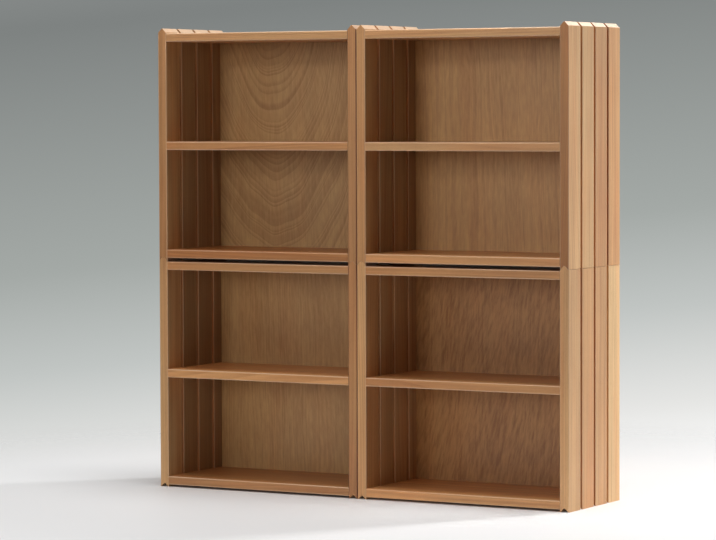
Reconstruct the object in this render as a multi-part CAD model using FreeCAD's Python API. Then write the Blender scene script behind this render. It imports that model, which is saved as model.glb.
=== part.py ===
import FreeCAD, Part
import os

# Driving dimensions, all in millimetres

# One box
box_width = 380.0             # over the outer faces of the two slatted sides
box_height = 380.0            # foot to foot, the step at which boxes stack
columns = ("left", "right")   # boxes standing side by side
tiers = ("lower", "upper")    # boxes standing on each other
column_gap = 0.9              # the columns stand side by side, almost touching

# Slats of one side, counted from the front
slat_count = 4
slat_width = 42.0
slat_thickness = 16.0
slat_gap = 6.0                # open slit between neighbouring slats
slat_edge_round = 1.0         # eased long edges

# Stacking ridge on each slat and the notch in its foot, both with 45 degree flanks
ridge_width = 1.0             # flat tip, which carries the box above
shoulder_width = 1.0          # flat each side of the ridge
lip_width = 1.0               # flat each side of the notch, which stands on the floor
shoulder_gap = 0.6            # seen between the shoulders and the lips of the box above

# Boards between the two sides
board_thickness = 14.0
board_edge_round = 2.0        # eased long edges
bottom_board_rise = 3.6       # underside of the bottom board above the foot
top_board_drop = 2.4          # top of the top board below the foot of the box above

# Back panel, held loose in grooves
panel_thickness = 5.0
panel_setback = 12.5          # from the rear of the box to the back of the panel
groove_depth = 5.0
panel_clearance = 0.1         # each side of the panel in its groove
panel_edge_gap = 0.3          # from the panel's edges to the floor of the groove
shelf_back_clearance = 0.2    # from the shelf to the panel

# Dowels that join each slat to each board
dowel_diameter = 8.0
dowel_in_slat = 10.0
dowel_in_board = 20.0
dowel_clearance = 0.1         # all round the dowel
dowel_end_gap = 0.5           # left for glue past each end
dowel_chamfer = 1.0

# Sizes that follow from those above
box_depth = slat_count * slat_width + (slat_count - 1) * slat_gap
front = -box_depth / 2
rear = box_depth / 2
outer_side = box_width / 2
inner_side = outer_side - slat_thickness
shoulder_height = box_height - shoulder_gap
ridge_height = (slat_thickness - ridge_width) / 2 - shoulder_width
slat_height = shoulder_height + ridge_height
notch_depth = slat_height - box_height
notch_root_width = slat_thickness - 2 * lip_width - 2 * notch_depth
panel_back = rear - panel_setback
panel_front = panel_back - panel_thickness
bottom_board_top = bottom_board_rise + board_thickness
top_board_underside = box_height - top_board_drop - board_thickness
shelf_underside = (bottom_board_top + top_board_underside - board_thickness) / 2
board_undersides = (bottom_board_rise, shelf_underside, top_board_underside)
same_place = 1e-6             # points closer than this coincide


def block(low, high):
    size = [end - start for start, end in zip(low, high)]
    return Part.makeBox(*size, FreeCAD.Vector(*low))


def rod(radius, start, end, y, z):
    return Part.makeCylinder(radius, end - start, FreeCAD.Vector(start, y, z), FreeCAD.Vector(1, 0, 0))


# Round the edges of a block that run along one axis, all of them or those that keep accepts
def ease_edges(solid, radius, axis, keep=lambda middle: True):
    chosen = []
    for edge in solid.Edges:
        run = edge.lastVertex().Point - edge.firstVertex().Point
        if run.isEqual(axis * run.dot(axis), same_place) and keep(edge.CenterOfMass):
            chosen.append(edge)
    return solid.makeFillet(radius, chosen)


def slat_start(index):
    return front + index * (slat_width + slat_gap)


# The last slat also carries the panel groove, so its dowels sit in front of the groove
def dowel_place(index):
    start = slat_start(index)
    end = start + slat_width
    if index == slat_count - 1:
        end = panel_front - panel_clearance
    return (start + end) / 2


def dowel_heights():
    return [underside + board_thickness / 2 for underside in board_undersides]


# Outline of a slat seen from the front: notch in the foot, ridge on top
def slat_outline():
    half = slat_thickness / 2
    right_half = [
        (notch_root_width / 2, notch_depth),
        (half - lip_width, 0),
        (half, 0),
        (half, shoulder_height),
        (half - shoulder_width, shoulder_height),
        (ridge_width / 2, slat_height),
    ]
    left_half = [(-x, z) for x, z in reversed(right_half)]
    return right_half + left_half


def left_slat(index):
    start = slat_start(index)
    end = start + slat_width
    middle = -outer_side + slat_thickness / 2
    stock = block((-outer_side, start, 0), (-inner_side, end, slat_height))
    stock = ease_edges(stock, slat_edge_round, FreeCAD.Vector(0, 0, 1))
    points = [FreeCAD.Vector(middle + x, start, z) for x, z in slat_outline()]
    outline = Part.Face(Part.makePolygon(points + points[:1]))
    slat = stock.common(outline.extrude(FreeCAD.Vector(0, slat_width, 0)))
    hole_radius = dowel_diameter / 2 + dowel_clearance
    hole_end = -inner_side - dowel_in_slat - dowel_end_gap
    for height in dowel_heights():
        slat = slat.cut(rod(hole_radius, hole_end, -inner_side, dowel_place(index), height))
    if index == slat_count - 1:
        slat = slat.cut(panel_groove())
    return slat.Solids[0]


def mirrored(shape):
    return shape.mirror(FreeCAD.Vector(0, 0, 0), FreeCAD.Vector(1, 0, 0))


# Room for the panel, cut into the rear slats, the top board and the bottom board
def panel_groove():
    low = (-inner_side - groove_depth, panel_front - panel_clearance, bottom_board_top - groove_depth)
    high = (inner_side + groove_depth, panel_back + panel_clearance, top_board_underside + groove_depth)
    return block(low, high)


def board(underside, back):
    stock = block((-inner_side, front, underside), (inner_side, back, underside + board_thickness))
    open_to_rear = back == rear
    stock = ease_edges(
        stock, board_edge_round, FreeCAD.Vector(1, 0, 0), lambda middle: open_to_rear or middle.y < 0
    )
    hole_radius = dowel_diameter / 2 + dowel_clearance
    hole_end = inner_side - dowel_in_board - dowel_end_gap
    height = underside + board_thickness / 2
    for index in range(slat_count):
        hole = rod(hole_radius, hole_end, inner_side, dowel_place(index), height)
        stock = stock.cut(hole).cut(mirrored(hole))
    if open_to_rear:
        stock = stock.cut(panel_groove())
    return stock.Solids[0]


def back_panel():
    grip = groove_depth - panel_edge_gap
    low = (-inner_side - grip, panel_front, bottom_board_top - grip)
    high = (inner_side + grip, panel_back, top_board_underside + grip)
    return block(low, high)


def dowels():
    rods = []
    for height in dowel_heights():
        for index in range(slat_count):
            dowel = rod(
                dowel_diameter / 2,
                -inner_side - dowel_in_slat,
                -inner_side + dowel_in_board,
                dowel_place(index),
                height,
            )
            rims = [edge for edge in dowel.Edges if edge.isClosed()]
            dowel = dowel.makeChamfer(dowel_chamfer, rims)
            rods += [dowel, mirrored(dowel)]
    return Part.makeCompound(rods)


def box_pieces():
    pieces = {
        "bottom_board": board(bottom_board_rise, rear),
        "shelf": board(shelf_underside, panel_front - shelf_back_clearance),
        "top_board": board(top_board_underside, rear),
        "back_panel": back_panel(),
        "dowels": dowels(),
    }
    for index in range(slat_count):
        slat = left_slat(index)
        pieces[f"left_slat_{index + 1}"] = slat
        pieces[f"right_slat_{index + 1}"] = mirrored(slat)
    return pieces


os.makedirs("parts", exist_ok=True)
pieces = box_pieces()
column_step = box_width + column_gap
for tier_index, tier in enumerate(tiers):
    for column_index, column in enumerate(columns):
        across = (column_index - (len(columns) - 1) / 2) * column_step
        place = FreeCAD.Vector(across, 0, tier_index * box_height)
        for piece, shape in pieces.items():
            node = shape.copy()
            node.translate(place)
            node.exportStep(f"parts/{tier}_{column}_box_{piece}.step")

for piece, shape in pieces.items():
    sizes = shape.BoundBox
    print(
        f"{piece}: {len(shape.Solids)} solid(s), valid {shape.isValid()}, "
        f"{sizes.XLength:.1f} x {sizes.YLength:.1f} x {sizes.ZLength:.1f} mm, {shape.Volume / 1000:.1f} cm3"
    )
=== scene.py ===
import math
import random

import bpy
from mathutils import Matrix, Vector


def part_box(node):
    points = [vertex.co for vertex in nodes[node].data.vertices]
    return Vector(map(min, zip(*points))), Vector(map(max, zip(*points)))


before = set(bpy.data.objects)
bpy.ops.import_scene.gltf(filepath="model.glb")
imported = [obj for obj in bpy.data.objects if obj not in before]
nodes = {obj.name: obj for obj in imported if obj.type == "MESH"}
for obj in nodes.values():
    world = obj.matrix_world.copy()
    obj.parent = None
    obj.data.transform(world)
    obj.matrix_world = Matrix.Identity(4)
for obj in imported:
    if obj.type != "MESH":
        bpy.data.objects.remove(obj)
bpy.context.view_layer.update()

print("frame loaded,", len(nodes), "nodes")


def tone(red, green, blue):
    # screen colour, 0 to 255, as the linear values that shaders take
    def linear(part):
        part = part / 255
        return part / 12.92 if part <= 0.04045 else ((part + 0.055) / 1.055) ** 2.4
    return (linear(red), linear(green), linear(blue), 1.0)


def socketOf(sockets, key):
    if isinstance(key, int):
        return sockets[key]
    return next(s for s in sockets if key in (s.identifier, s.name))


class Wire:
    # a shader socket that can be added, multiplied and so on
    def __init__(self, socket):
        self.socket = socket
        self.tree = socket.id_data

    # any node: its type, its settings, then the values or links of its sockets
    def node(self, kind, settings=None, sockets=None, out=0):
        made = self.tree.nodes.new(kind)
        for name, value in (settings or {}).items():
            if name == "stops":
                ramp = made.color_ramp.elements
                while len(ramp) < len(value):
                    ramp.new(0.5)
                for stop, (place, colour) in zip(ramp, value):
                    stop.position = place
                    stop.color = colour
            else:
                setattr(made, name, value)
        for name, value in (sockets or {}).items():
            target = socketOf(made.inputs, name)
            if isinstance(value, Wire):
                self.tree.links.new(value.socket, target)
            else:
                target.default_value = value
        return Wire(socketOf(made.outputs, out))

    def maths(self, operation, *values):
        return self.node("ShaderNodeMath", {"operation": operation}, dict(enumerate(values)))

    def __add__(self, other):
        return self.maths("ADD", self, other)

    def __sub__(self, other):
        return self.maths("SUBTRACT", self, other)

    def __rsub__(self, other):
        return self.maths("SUBTRACT", other, self)

    def __mul__(self, other):
        return self.maths("MULTIPLY", self, other)

    def __truediv__(self, other):
        return self.maths("DIVIDE", self, other)

    def __abs__(self):
        return self.maths("ABSOLUTE", self)

    __radd__ = __add__
    __rmul__ = __mul__

    def step(self, low, high):
        # 0 below low, 1 above high, smooth between
        settings = {"interpolation_type": "SMOOTHSTEP"}
        return self.node("ShaderNodeMapRange", settings, {"Value": self, "From Min": low, "From Max": high})

    def split(self):
        parts = self.node("ShaderNodeSeparateXYZ", {}, {0: self}).socket.node
        return [Wire(output) for output in parts.outputs]

    def noise(self, pattern, seed, out=0):
        # noise stretched along the grain; self is (along, across, through) in metres
        start = seed + pattern["apart"]
        stretch = (pattern["along"], pattern["across"], pattern["across"])
        stretched = self.node(
            "ShaderNodeVectorMath", {"operation": "MULTIPLY_ADD"},
            {0: self, 1: stretch, 2: (start, start * 1.7, start * 2.3)},
        )
        return self.node(
            "ShaderNodeTexNoise", {},
            {"Vector": stretched, "Scale": 1.0, "Detail": pattern["detail"], "Roughness": 0.55}, out,
        )

    def mix(self, factor, first, second, blend="MIX"):
        return self.node(
            "ShaderNodeMix", {"data_type": "RGBA", "blend_type": blend, "clamp_factor": True},
            {"Factor_Float": factor, "A_Color": first, "B_Color": second}, "Result_Color",
        )

    def tinted(self, mask, tint):
        # this colour times a tint, where the mask is 1
        return self.mix(mask, self, tint, "MULTIPLY")


def freshMaterial(name):
    made = bpy.data.materials.new(name)
    made.use_nodes = True
    tree = made.node_tree
    shader = next(n for n in tree.nodes if n.type == "BSDF_PRINCIPLED")
    place = tree.nodes.new("ShaderNodeTexCoord")
    return made, shader, place.outputs


def plug(shader, name, wire):
    wire.tree.links.new(wire.socket, shader.inputs[name])


# axes of a piece as (along the grain, across it, through its thickness)
grainAxes = {"slat": (2, 1, 0), "board": (0, 1, 2), "panel": (2, 0, 1), "dowel": (0, 1, 2)}

# noises of the timber: steps per metre along and across the grain, and what keeps them apart
grainNoises = {
    "wander": {"along": 2.4, "across": 9, "detail": 2, "apart": 0},
    "streak": {"along": 1.8, "across": 85, "detail": 3, "apart": 3},
    "fibre": {"along": 14, "across": 520, "detail": 3, "apart": 7},
    "blotch": {"along": 5, "across": 16, "detail": 2, "apart": 11},
    "fleck": {"along": 260, "across": 1500, "detail": 1, "apart": 13},
    "redder": {"along": 3, "across": 28, "detail": 2, "apart": 17},
    "dash": {"along": 42, "across": 240, "detail": 3, "apart": 19},
}

timber = {
    "pale": tone(215, 164, 109),
    "deep": tone(171, 116, 68),
    "usualDepth": 0.40,            # where plain wood lies between pale and deep
    "tilt": 0.03,                  # lean of the grain against the piece
    "arch": 0.0,                   # further lean, which opens the rings into arches that point down
    "sway": 0.008,                 # wander of the grain in metres
    "ringWidth": 0.0038,
    "ringDepth": 0.40,             # how far a late ring goes from pale to deep
    "ringMean": 0.25,              # taken off, so that rings leave the plank as light as it was
    "ringFaintest": 0.25,
    "ringLate": 0.88,              # share of a ring's width where it is darkest
    "ringEarly": 0.1,
    "unevenSteps": 55,             # how quickly the ring width changes, per metre
    "unevenRings": 4.5,
    "streakDepth": 1.15,
    "fibreDepth": 0.45,
    "blotchDepth": 0.70,
    "fleckDepth": 0.30,
    "fleckRange": (0.64, 0.72),
    "dashDepth": 0.0,              # short dark pores of a rotary cut veneer
    "dashLean": 0.0,
    "fade": 0.0,                   # painted shade: how much darker a plank grows towards its foot, for light that falls off down the front; below zero it grows lighter
    "redShift": 0.14,
    "redRange": (0.4, 0.68),
    "sawn": tone(213, 187, 160),   # ends and ridge flanks: paler as cut wood, and partly a painted highlight of the light on the ridges
    "sawnShare": 0.6,
    "sawnTurn": (0.5, 0.68),       # how far a face turns to the end before it counts as one
    "faceTurn": (0.5, 0.9),        # the same for the front and the inside
    "frontToneAndSlitShade": (1.0, 1.0, 1.0, 1.0),   # colour of the front face against the wide ones: partly its own tone, partly painted shade in the slits
    "paintedInnerShade": (1.0, 1.0, 1.0, 1.0),   # the same for the face inside a box, as painted shade
    "innerWay": 0,                       # which way that face looks, 0 for none
    "arrisPaint": tone(226, 193, 160),       # arrises: paler partly from sanding wear, partly as a painted highlight of the light on the rounded edges
    "arrisShare": 0.35,
    "arrisUneven": 2,
    "edgeWidth": 0.0022,
    "edgeCore": 0.2,               # share of that width that is rubbed in full
    "roughness": 0.36,
    "roughFibre": 0.16,
    "roughSawn": 0.1,
    "smoothEdge": 0.05,
    "gloss": 0.6,
    "bump": 0.00012,
    "bumpStreak": 0.5,
    "bumpFleck": 0.6,
    "bumpRing": 0.2,
}
seedReach = 50


# growth rings round a heart beside the piece; they differ in width and depth
def growthRings(along, across, through, sway, dice, look, seed):
    heartAcross = dice.uniform(*look["heartAcross"]) * dice.choice((-1, 1))
    heartThrough = dice.uniform(*look["heartThrough"]) * dice.choice((-1, 1))
    leanAcross = dice.uniform(-look["tilt"], look["tilt"])
    leanThrough = dice.uniform(-look["tilt"], look["tilt"]) + math.copysign(look["arch"], heartThrough)
    fromHeart = across + along * leanAcross + sway[0] - heartAcross
    overHeart = through + along * leanThrough + sway[1] - heartThrough
    squared = fromHeart * fromHeart + overHeart * overHeart
    radius = squared.maths("SQRT", squared)
    uneven = radius.node(
        "ShaderNodeTexNoise", {"noise_dimensions": "1D"},
        {"W": radius * look["unevenSteps"] + seed, "Scale": 1.0},
    )
    turn = radius / look["ringWidth"] + uneven * look["unevenRings"]
    ringNumber = turn.maths("FLOOR", turn)
    phase = turn - ringNumber
    chance = turn.node(
        "ShaderNodeTexWhiteNoise", {"noise_dimensions": "1D"}, {"W": ringNumber + seed}, "Value",
    )
    strength = look["ringFaintest"] + chance * (1 - look["ringFaintest"])
    return (phase.step(look["ringEarly"], look["ringLate"]) - phase.step(look["ringLate"], 1.0)) * strength


def timberFinish(name, kind, low, high, dice, look):
    made, shader, place = freshMaterial(name)
    coords = Wire(place["Object"])
    facing = Wire(place["Normal"]).split()
    middle = (low + high) / 2
    size = high - low
    axes = grainAxes[kind]
    fromMiddle = coords.node(
        "ShaderNodeVectorMath", {"operation": "SUBTRACT"}, {0: coords, 1: tuple(middle)},
    )
    parts = fromMiddle.split()
    along, across, through = (parts[axis] for axis in axes)
    grain = coords.node("ShaderNodeCombineXYZ", {}, {0: along, 1: across, 2: through})
    seed = dice.uniform(0, seedReach)
    wander = grain.noise(grainNoises["wander"], seed, "Color").split()
    sway = [(part - 0.5) * look["sway"] for part in wander]
    ring = growthRings(along, across, through, sway, dice, look, seed)

    streak = grain.noise(grainNoises["streak"], seed)
    fibre = grain.noise(grainNoises["fibre"], seed)
    blotch = grain.noise(grainNoises["blotch"], seed)
    fleck = grain.noise(grainNoises["fleck"], seed).step(*look["fleckRange"])
    leaning = across + along * look["dashLean"] + sway[0]
    veneer = grain.node("ShaderNodeCombineXYZ", {}, {0: along, 1: leaning, 2: through})
    dash = veneer.noise(grainNoises["dash"], seed)

    # the depth holds the figure of the wood, and through fade a painted shade towards the foot
    depth = (
        look["usualDepth"]
        + (ring - look["ringMean"]) * look["ringDepth"]
        + (streak - 0.5) * look["streakDepth"]
        + (fibre - 0.5) * look["fibreDepth"]
        + (blotch - 0.5) * look["blotchDepth"]
        + (dash - 0.5) * look["dashDepth"]
        + fleck * look["fleckDepth"]
        - along * (look["fade"] / size[axes[0]])
    )
    colour = depth.mix(depth, look["pale"], look["deep"])
    redder = grain.noise(grainNoises["redder"], seed).step(*look["redRange"])
    red = look["redShift"]
    colour = colour.tinted(redder, (1 + red / 3, 1 - red / 2, 1 - red, 1.0))

    # the front face of a plank gets a tint of its own: partly its own tone, and painted shade where it lies
    # in a slit between slats
    front = (0 - facing[1]).step(*look["faceTurn"])
    colour = colour.tinted(front, look["frontToneAndSlitShade"])

    # painted shade: the face inside a box is tinted darker for the shade inside the box, and lighter on a
    # few front slats that catch more light
    inward = (facing[axes[2]] * look["innerWay"]).step(*look["faceTurn"])
    colour = colour.tinted(inward, look["paintedInnerShade"])

    # sawn ends and ridge flanks are paler: partly as cut wood, partly as a painted highlight of the light
    # they catch
    sawn = abs(facing[axes[0]]).step(*look["sawnTurn"])
    colour = colour.mix(sawn * look["sawnShare"], colour, look["sawn"])

    # the long arrises are painted: paler partly from sanding wear and partly as a painted highlight, and
    # darker as painted shade where the columns meet
    fromSide = size[axes[1]] / 2 - abs(across)
    fromFace = size[axes[2]] / 2 - abs(through)
    toEdge = fromSide.maths("MAXIMUM", fromSide, fromFace)
    edge = 1 - toEdge.step(look["edgeWidth"] * look["edgeCore"], look["edgeWidth"])
    arrisPaint = edge * (1 + (blotch - 0.5) * look["arrisUneven"]) * look["arrisShare"]
    colour = colour.mix(arrisPaint, colour, look["arrisPaint"])
    plug(shader, "Base Color", colour)

    rough = look["roughness"] + (fibre - 0.5) * look["roughFibre"]
    plug(shader, "Roughness", rough + sawn * look["roughSawn"] - edge * look["smoothEdge"])
    shader.inputs["Specular IOR Level"].default_value = look["gloss"]
    height = fibre + streak * look["bumpStreak"] - fleck * look["bumpFleck"] - ring * look["bumpRing"]
    bump = height.node("ShaderNodeBump", {}, {"Height": height, "Distance": look["bump"]})
    plug(shader, "Normal", bump)
    return made


slatLook = dict(timber, heartAcross=(0.02, 0.09), heartThrough=(0.03, 0.10))
boardLook = dict(timber, heartAcross=(0.0, 0.10), heartThrough=(0.03, 0.09), arrisShare=0.8)
panelLook = dict(
    timber,
    pale=tone(204, 163, 107), deep=tone(162, 118, 68),
    heartAcross=(0.0, 0.09), heartThrough=(0.03, 0.06), tilt=0.05, sway=0.035,
    ringWidth=0.0050, streakDepth=0.4, redShift=0.05, arrisShare=0.0,
)

# how the veneer of each panel was cut
panelFigure = {
    "upper_left": dict(
        ringDepth=0.5, dashDepth=0.9, dashLean=0.06,
        heartAcross=(-0.075, -0.065), heartThrough=(0.12, 0.13), arch=0.4, sway=0.022,
    ),
    "upper_right": dict(ringDepth=0.3, dashDepth=1.0),
    "lower_left": dict(ringDepth=0.36, dashDepth=1.0, dashLean=0.05),
    "lower_right": dict(ringDepth=0.36, dashDepth=2.6, dashLean=-0.2),
}

paintedSeamShade = dict(arrisPaint=tone(108, 52, 18), arrisShare=0.65)   # painted shade on the arrises where the columns meet, dark as the shaded gap between them
# painted highlight: the ends and ridge flanks of the right-hand slats painted near white for the strong
# light on the right-hand ridges
paintedRidgeHighlight = tone(230, 214, 198)
usualPlank = {"lift": (0.95, 1.05), "red": (-0.025, 0.025)}

# planks that differ from the usual timber; a name without a number stands for the other slats of that side;
# their tints are partly the planks' own tone and partly painted light and shade: lighter where more light
# falls, darker inside the boxes, in the slits and towards some feet
planks = {
    "upper_left_box_left_slat_1": dict(lift=0.82, red=0.1, innerLift=1.12, innerRed=-0.16, fade=0.3),
    "upper_left_box_left_slat": dict(lift=1.05, red=-0.04),
    "upper_left_box_right_slat_1": dict(lift=0.86, red=0.05, fade=0.4, **paintedSeamShade),
    "upper_left_box_top_board": dict(lift=1.15, red=-0.04),
    "upper_left_box_shelf": dict(lift=0.9, red=0.12),
    "upper_left_box_bottom_board": dict(lift=0.6, red=0.3),
    "upper_left_box_back_panel": dict(lift=1.02, red=-0.02),
    "upper_right_box_left_slat_1": dict(lift=0.92, red=0.08, innerLift=0.84, fade=0.36),
    "upper_right_box_left_slat": dict(lift=1.05, red=-0.04, innerLift=0.64),
    "upper_right_box_right_slat_1": dict(lift=1.15, red=-0.12, frontLift=0.46, frontRed=0.46, sawn=paintedRidgeHighlight),
    "upper_right_box_right_slat_2": dict(lift=1.1, red=-0.12, frontLift=0.72, frontRed=0.3, sawn=paintedRidgeHighlight),
    "upper_right_box_right_slat_3": dict(lift=0.88, red=-0.04, frontRed=0.2, sawn=paintedRidgeHighlight),
    "upper_right_box_right_slat_4": dict(lift=0.95, red=0.02, frontLift=0.45, frontRed=0.5, sawn=paintedRidgeHighlight),
    "upper_right_box_top_board": dict(lift=1.2, red=-0.04),
    "upper_right_box_shelf": dict(lift=1.12, red=-0.04),
    "upper_right_box_bottom_board": dict(lift=1.1, red=0.04),
    "upper_right_box_back_panel": dict(lift=1.06, red=0.02),
    "lower_left_box_left_slat_1": dict(lift=1.15, red=-0.04, innerLift=0.8, fade=-0.2),
    "lower_left_box_left_slat": dict(lift=0.9, innerLift=0.6),
    "lower_left_box_right_slat_1": dict(lift=0.8, red=0.06, **paintedSeamShade),
    "lower_left_box_top_board": dict(lift=0.9, red=0.06),
    "lower_left_box_shelf": dict(lift=1.25, red=0.06),
    "lower_left_box_bottom_board": dict(lift=0.75, red=0.1),
    "lower_right_box_left_slat_1": dict(lift=1.25, red=-0.04, innerLift=0.65, innerRed=0.02),
    "lower_right_box_left_slat": dict(innerLift=0.8, innerRed=-0.1),
    "lower_right_box_right_slat_1": dict(lift=0.95, red=-0.08, frontLift=1.25, frontRed=0.02, fade=-0.15),
    "lower_right_box_right_slat_2": dict(lift=0.93, red=-0.02, frontLift=0.62, frontRed=0.38),
    "lower_right_box_right_slat_3": dict(lift=0.95, red=-0.06, frontLift=0.62, frontRed=0.38),
    "lower_right_box_right_slat_4": dict(lift=1.5, red=-0.2, frontLift=0.8, frontRed=0.25),
    "lower_right_box_top_board": dict(lift=0.85, red=0.12),
    "lower_right_box_shelf": dict(lift=0.85, red=0.1),
    "lower_right_box_bottom_board": dict(lift=1.1, red=0.06),
    "lower_right_box_back_panel": dict(lift=0.68, red=0.2),
}
firstDice = 4100


def tintOf(lift, red):
    return (lift * (1 + red), lift, lift * (1 - red), 1.0)


# one plank is lighter, darker, redder or yellower than the next, and so are its front and inside; these
# tints carry each plank's own tone and also painted light and shade
def plankLook(look, lift=1.0, red=0.0, frontLift=1.0, frontRed=0.0, innerLift=0.68, innerRed=-0.12,
              **other):
    changed = dict(look, **other)
    changed["frontToneAndSlitShade"] = tintOf(frontLift, frontRed)
    changed["paintedInnerShade"] = tintOf(innerLift, innerRed)
    for name in ("pale", "deep"):
        changed[name] = tuple(part * by for part, by in zip(look[name], tintOf(lift, red)))
    return changed


def dressNode(name, index):
    dice = random.Random(firstDice + index)
    low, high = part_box(name)
    if "slat" in name:
        kind, look = "slat", dict(slatLook, innerWay=1 if "left_slat" in name else -1)
    elif "panel" in name:
        kind, look = "panel", dict(panelLook, **panelFigure[name.split("_box")[0]])
    elif "dowel" in name:
        kind, look = "dowel", boardLook
    else:
        kind, look = "board", boardLook
    usual = {trait: dice.uniform(*span) for trait, span in usualPlank.items()}
    side = name.rsplit("_", 1)[0]
    look = plankLook(look, **(planks.get(name) or planks.get(side) or usual))
    nodes[name].material_slots[0].material = timberFinish(name + "_finish", kind, low, high, dice, look)


for index, name in enumerate(sorted(nodes)):
    dressNode(name, index)
print("timber on", len(nodes), "pieces")

floorLook = {
    "colour": tone(236, 236, 236),
    "roughness": 0.55,
    "gloss": 0.25,
    "reach": 6.0,
    "sides": 96,
    "fadeStart": 0.6,    # where the floor starts to pass into the backdrop, in metres
    "fadeEnd": 1.35,
}


def makeFloor():
    bpy.ops.mesh.primitive_circle_add(
        vertices=floorLook["sides"], radius=floorLook["reach"], fill_type="NGON",
    )
    floor = bpy.context.object
    floor.name = "floor"
    made, shader, place = freshMaterial("floorPaint")
    shader.inputs["Base Color"].default_value = floorLook["colour"]
    shader.inputs["Roughness"].default_value = floorLook["roughness"]
    shader.inputs["Specular IOR Level"].default_value = floorLook["gloss"]
    coords = Wire(place["Object"])
    away = coords.node("ShaderNodeVectorMath", {"operation": "LENGTH"}, {0: coords}, "Value")
    fade = away.step(floorLook["fadeStart"], floorLook["fadeEnd"])
    clear = fade.node("ShaderNodeBsdfTransparent")
    both = fade.node("ShaderNodeMixShader", {}, {0: fade, 1: Wire(shader.outputs[0]), 2: clear})
    output = next(n for n in made.node_tree.nodes if n.type == "OUTPUT_MATERIAL")
    plug(output, "Surface", both)
    floor.data.materials.append(made)


makeFloor()
print("floor laid")

worldLook = {
    "fill": tone(228, 230, 232),
    "fillStrength": 0.02,
    "brighterSide": (0.868, 0.496, 0.0),
    "sideShare": 0.10,
    "screen": tone(246, 246, 245),      # white screen out of frame on the brighter side
    "screenStart": 0.3,
    "screenEnd": 0.7,
    # sine of the elevation, and the shade there
    "backdrop": [
        (-0.115, tone(250, 250, 249)), (-0.1, tone(230, 230, 228)), (-0.07, tone(193, 197, 195)),
        (-0.04, tone(164, 169, 166)), (0.035, tone(126, 130, 129)), (0.2, tone(205, 206, 206)),
        (0.4, tone(250, 250, 250)),
    ],
}


def makeWorld():
    world = bpy.data.worlds.new("studio")
    bpy.context.scene.world = world
    world.use_nodes = True
    tree = world.node_tree
    background = next(n for n in tree.nodes if n.type == "BACKGROUND")
    direction = Wire(tree.nodes.new("ShaderNodeTexCoord").outputs["Generated"])
    aside = direction.node(
        "ShaderNodeVectorMath", {"operation": "DOT_PRODUCT"},
        {0: direction, 1: worldLook["brighterSide"]}, "Value",
    )
    height = direction.split()[2] - aside * worldLook["sideShare"]
    stops = worldLook["backdrop"]
    lowest, highest = stops[0][0], stops[-1][0]
    share = (height - lowest) / (highest - lowest)
    spread = [((z - lowest) / (highest - lowest), colour) for z, colour in stops]
    shown = share.node("ShaderNodeValToRGB", {"stops": spread}, {"Fac": share}, "Color")
    screen = aside.step(worldLook["screenStart"], worldLook["screenEnd"])
    shown = shown.mix(screen, shown, worldLook["screen"])

    # the camera and reflections see the backdrop, other light is the plain fill
    rays = tree.nodes.new("ShaderNodeLightPath").outputs
    seen = Wire(rays["Is Camera Ray"]) + Wire(rays["Is Glossy Ray"]) + Wire(rays["Is Transmission Ray"])
    fill = tuple(part * worldLook["fillStrength"] for part in worldLook["fill"][:3]) + (1.0,)
    plug(background, "Color", shown.mix(seen, fill, shown))


makeWorld()
print("backdrop hung")

lamps = {
    "keyFromBehind": {
        "place": (1.9, 2.55, 0.95), "aim": (0.65, 0.0, 0.4), "size": (0.5, 0.5),
        "spread": 70, "power": 20, "mirrored": False,
    },
    "overhead": {
        "place": (0.3, -0.2, 4.9), "aim": (0.0, 0.0, 0.4), "size": (2.4, 2.4),
        "spread": 180, "power": 192, "mirrored": True,
    },
    "softFront": {
        "place": (-0.5, -5.0, 1.0), "aim": (0.0, 0.0, 0.4), "size": (1.2, 1.0),
        "spread": 180, "power": 35, "mirrored": True,
    },
    "rightFill": {
        "place": (1.6, -4.5, 1.2), "aim": (0.0, 0.0, 0.4), "size": (1.0, 1.0),
        "spread": 180, "power": 6.5, "mirrored": False,
    },
    # two small ones that fall off from the top of the front downwards
    "topStrip": {
        "place": (-0.4, -4.0, 1.9), "aim": (-0.1, 0.0, 1.05), "size": (1.6, 0.9),
        "spread": 18, "power": 1.0, "mirrored": False,
    },
    "topNear": {
        "place": (-0.2, -1.1, 1.75), "aim": (-0.1, 0.0, 0.7), "size": (0.9, 0.6),
        "spread": 180, "power": 3.4, "mirrored": False,
    },
    # a narrow one on the ridges at the right
    "ridgeSpot": {
        "place": (0.46, 0.0, 2.2), "aim": (0.3, 0.0, 0.76), "size": (0.2, 0.2),
        "spread": 18, "power": 0.24, "mirrored": False,
    },
}


def makeLamp(name, settings):
    data = bpy.data.lights.new(name, "AREA")
    data.shape = "RECTANGLE"
    data.size, data.size_y = settings["size"]
    data.energy = settings["power"]
    data.spread = math.radians(settings["spread"])
    lamp = bpy.data.objects.new(name, data)
    bpy.context.scene.collection.objects.link(lamp)
    lamp.location = settings["place"]
    towards = Vector(settings["aim"]) - lamp.location
    lamp.rotation_euler = towards.to_track_quat("-Z", "Y").to_euler()
    lamp.visible_camera = False
    lamp.visible_glossy = settings["mirrored"]


for name, settings in lamps.items():
    makeLamp(name, settings)
print("lamps", len(lamps))

cameraLook = {
    "place": (2.6039, -4.6389, 0.6301),
    "yaw": math.radians(29.782),
    "pitch": math.radians(-2.828),
    "roll": math.radians(-0.19),
    "lens": 163.36,
}


def makeCamera():
    data = bpy.data.cameras.new("camera")
    data.lens = cameraLook["lens"]
    camera = bpy.data.objects.new("camera", data)
    bpy.context.scene.collection.objects.link(camera)
    turn = Matrix.Rotation(cameraLook["yaw"], 3, "Z")
    turn = turn @ Matrix.Rotation(math.pi / 2 + cameraLook["pitch"], 3, "X")
    turn = turn @ Matrix.Rotation(cameraLook["roll"], 3, "Z")
    camera.rotation_euler = turn.to_euler()
    camera.location = cameraLook["place"]
    bpy.context.scene.camera = camera


makeCamera()
bpy.context.scene.view_settings.view_transform = "Standard"
print("camera set")
